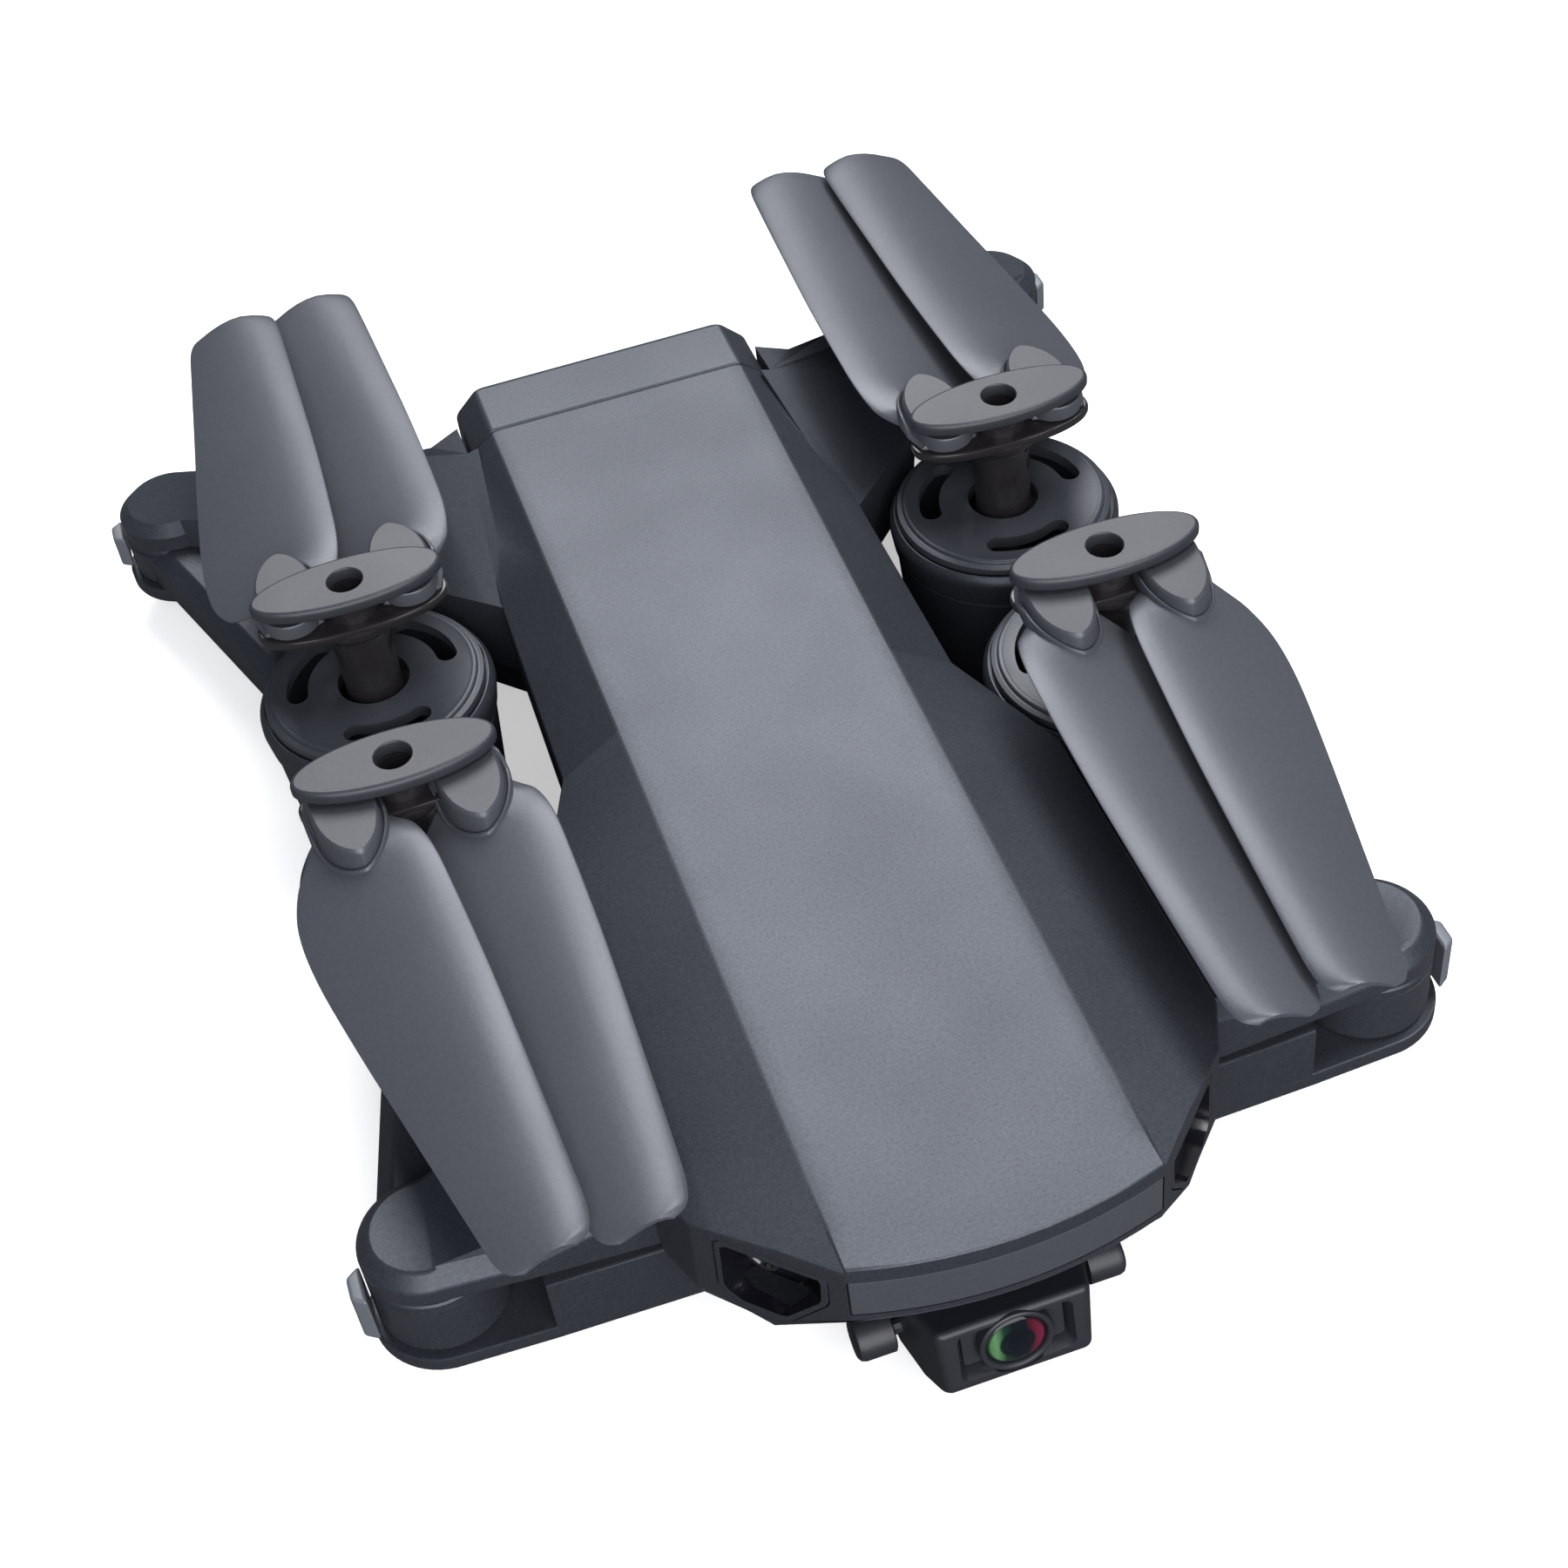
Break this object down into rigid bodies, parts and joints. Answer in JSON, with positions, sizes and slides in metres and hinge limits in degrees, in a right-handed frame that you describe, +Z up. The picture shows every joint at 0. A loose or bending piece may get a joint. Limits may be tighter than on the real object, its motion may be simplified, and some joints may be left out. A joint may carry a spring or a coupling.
{
  "type": "folding camera quadcopter drone",
  "caption": "Folding quadcopter with hinged arms, folding propeller blades, a tilting nose camera and a slide-out battery, stored folded.",
  "frame": {"origin": "middle of the footprint, on the surface the folded drone stands on", "axes": "+X towards the drone's own left-hand side, -Y towards its nose, +Z up"},
  "size_m": [0.1656, 0.2075, 0.0482],
  "materials": {
    "shell_plastic": "satin blue-grey moulded plastic with a fine speckle",
    "band_plastic": "lighter satin grey moulded strip",
    "blade_plastic": "semi-gloss dark grey thin moulding",
    "dark_plastic": "near-black satin moulding",
    "steel": "turned pins and screws",
    "lamp_plastic": "milky light window",
    "smoked_lens": "smoked glossy sensor window",
    "lens_glass": "coated camera glass over a dark barrel",
    "circuit_board": "green board inside the body",
    "contact_brass": "battery contacts inside the body",
    "motor_can": "motor can inside the pod"
  },
  "bodies": {
    "root": {"upper_shell": "shell_plastic", "lower_shell": "shell_plastic", "nose_band": "band_plastic", "window_bezel_left": "dark_plastic", "window_bezel_right": "dark_plastic", "window_lens_left": "smoked_lens", "window_lens_right": "smoked_lens", "belly_sensor": "smoked_lens", "body_screw_front_left": "steel", "body_screw_front_right": "steel", "body_screw_rear_left": "steel", "body_screw_rear_right": "steel", "main_board": "circuit_board", "contact_block": "contact_brass", "camera_bracket": "dark_plastic", "camera_axle": "steel", "arm_pin_front_left": "steel", "arm_pin_front_right": "steel", "arm_pin_rear_left": "steel", "arm_pin_rear_right": "steel"},
    "camera": {"camera_housing": "dark_plastic", "camera_bezel": "dark_plastic", "camera_barrel": "dark_plastic", "camera_lens": "lens_glass"},
    "battery": {"battery_pack": "shell_plastic"},
    "latch_left": {"battery_latch_left": "dark_plastic"},
    "latch_right": {"battery_latch_right": "dark_plastic"},
    "button": {"power_button": "dark_plastic"},
    "arm_front_left": {"arm_front_left": "shell_plastic", "arm_lamp_front_left": "lamp_plastic", "pod_cover_front_left": "dark_plastic", "motor_front_left": "motor_can"},
    "prop_front_left": {"prop_hub_front_left": "dark_plastic", "prop_clamp_front_left": "blade_plastic"},
    "blade_inner_front_left": {"blade_inner_front_left": "blade_plastic"},
    "blade_outer_front_left": {"blade_outer_front_left": "blade_plastic"},
    "arm_front_right": {"arm_front_right": "shell_plastic", "arm_lamp_front_right": "lamp_plastic", "pod_cover_front_right": "dark_plastic", "motor_front_right": "motor_can"},
    "prop_front_right": {"prop_hub_front_right": "dark_plastic", "prop_clamp_front_right": "blade_plastic"},
    "blade_inner_front_right": {"blade_inner_front_right": "blade_plastic"},
    "blade_outer_front_right": {"blade_outer_front_right": "blade_plastic"},
    "arm_rear_left": {"arm_rear_left": "shell_plastic", "arm_lamp_rear_left": "lamp_plastic", "pod_cover_rear_left": "dark_plastic", "motor_rear_left": "motor_can"},
    "prop_rear_left": {"prop_hub_rear_left": "dark_plastic", "prop_clamp_rear_left": "blade_plastic"},
    "blade_inner_rear_left": {"blade_inner_rear_left": "blade_plastic"},
    "blade_outer_rear_left": {"blade_outer_rear_left": "blade_plastic"},
    "arm_rear_right": {"arm_rear_right": "shell_plastic", "arm_lamp_rear_right": "lamp_plastic", "pod_cover_rear_right": "dark_plastic", "motor_rear_right": "motor_can"},
    "prop_rear_right": {"prop_hub_rear_right": "dark_plastic", "prop_clamp_rear_right": "blade_plastic"},
    "blade_inner_rear_right": {"blade_inner_rear_right": "blade_plastic"},
    "blade_outer_rear_right": {"blade_outer_rear_right": "blade_plastic"}
  },
  "joints": [
    {"name": "arm_fold_front_left", "type": "hinge", "parent": "root", "child": "arm_front_left", "pos_m": [0.063, -0.06658, 0.006], "axis": [0, 0, -1], "range_deg": [0, 141]},
    {"name": "prop_spin_front_left", "type": "hinge", "parent": "arm_front_left", "child": "prop_front_left", "pos_m": [0.0498, -0.01188, 0.041], "axis": [0, 0, 1], "range_deg": [0, 100]},
    {"name": "blade_fold_outer_front_left", "type": "hinge", "parent": "prop_front_left", "child": "blade_outer_front_left", "pos_m": [0.0583, -0.01188, 0.044], "axis": [0, 0, 1], "range_deg": [0, 124]},
    {"name": "blade_fold_inner_front_left", "type": "hinge", "parent": "prop_front_left", "child": "blade_inner_front_left", "pos_m": [0.0413, -0.01188, 0.044], "axis": [0, 0, -1], "range_deg": [0, 60]},
    {"name": "arm_fold_front_right", "type": "hinge", "parent": "root", "child": "arm_front_right", "pos_m": [-0.063, -0.06658, 0.006], "axis": [0, 0, 1], "range_deg": [0, 141]},
    {"name": "prop_spin_front_right", "type": "hinge", "parent": "arm_front_right", "child": "prop_front_right", "pos_m": [-0.0498, -0.01188, 0.041], "axis": [0, 0, -1], "range_deg": [0, 100]},
    {"name": "blade_fold_outer_front_right", "type": "hinge", "parent": "prop_front_right", "child": "blade_outer_front_right", "pos_m": [-0.0583, -0.01188, 0.044], "axis": [0, 0, -1], "range_deg": [0, 124]},
    {"name": "blade_fold_inner_front_right", "type": "hinge", "parent": "prop_front_right", "child": "blade_inner_front_right", "pos_m": [-0.0413, -0.01188, 0.044], "axis": [0, 0, 1], "range_deg": [0, 60]},
    {"name": "arm_fold_rear_left", "type": "hinge", "parent": "root", "child": "arm_rear_left", "pos_m": [0.0721, 0.09202, 0.006], "axis": [0, 0, 1], "range_deg": [0, 146]},
    {"name": "prop_spin_rear_left", "type": "hinge", "parent": "arm_rear_left", "child": "prop_rear_left", "pos_m": [0.049, 0.02512, 0.041], "axis": [0, 0, -1], "range_deg": [0, 100]},
    {"name": "blade_fold_outer_rear_left", "type": "hinge", "parent": "prop_rear_left", "child": "blade_outer_rear_left", "pos_m": [0.0575, 0.02512, 0.044], "axis": [0, 0, -1], "range_deg": [0, 123]},
    {"name": "blade_fold_inner_rear_left", "type": "hinge", "parent": "prop_rear_left", "child": "blade_inner_rear_left", "pos_m": [0.0405, 0.02512, 0.044], "axis": [0, 0, 1], "range_deg": [0, 60]},
    {"name": "arm_fold_rear_right", "type": "hinge", "parent": "root", "child": "arm_rear_right", "pos_m": [-0.0721, 0.09202, 0.006], "axis": [0, 0, -1], "range_deg": [0, 146]},
    {"name": "prop_spin_rear_right", "type": "hinge", "parent": "arm_rear_right", "child": "prop_rear_right", "pos_m": [-0.049, 0.02512, 0.041], "axis": [0, 0, 1], "range_deg": [0, 100]},
    {"name": "blade_fold_outer_rear_right", "type": "hinge", "parent": "prop_rear_right", "child": "blade_outer_rear_right", "pos_m": [-0.0575, 0.02512, 0.044], "axis": [0, 0, 1], "range_deg": [0, 123]},
    {"name": "blade_fold_inner_rear_right", "type": "hinge", "parent": "prop_rear_right", "child": "blade_inner_rear_right", "pos_m": [-0.0405, 0.02512, 0.044], "axis": [0, 0, -1], "range_deg": [0, 60]},
    {"name": "camera_tilt", "type": "hinge", "parent": "root", "child": "camera", "pos_m": [0, -0.09108, 0.0073], "axis": [1, 0, 0], "range_deg": [0, 30]},
    {"name": "battery_slide", "type": "slide", "parent": "root", "child": "battery", "axis": [0, 1, 0], "range_m": [0, 0.06]},
    {"name": "latch_press_left", "type": "slide", "parent": "battery", "child": "latch_left", "axis": [-1, 0, 0], "range_m": [0, 0.001], "stiffness_N_per_m": 300},
    {"name": "latch_press_right", "type": "slide", "parent": "battery", "child": "latch_right", "axis": [1, 0, 0], "range_m": [0, 0.001], "stiffness_N_per_m": 300},
    {"name": "button_press", "type": "slide", "parent": "battery", "child": "button", "axis": [0, -1, 0], "range_m": [0, 0.0012], "stiffness_N_per_m": 300}
  ]
}
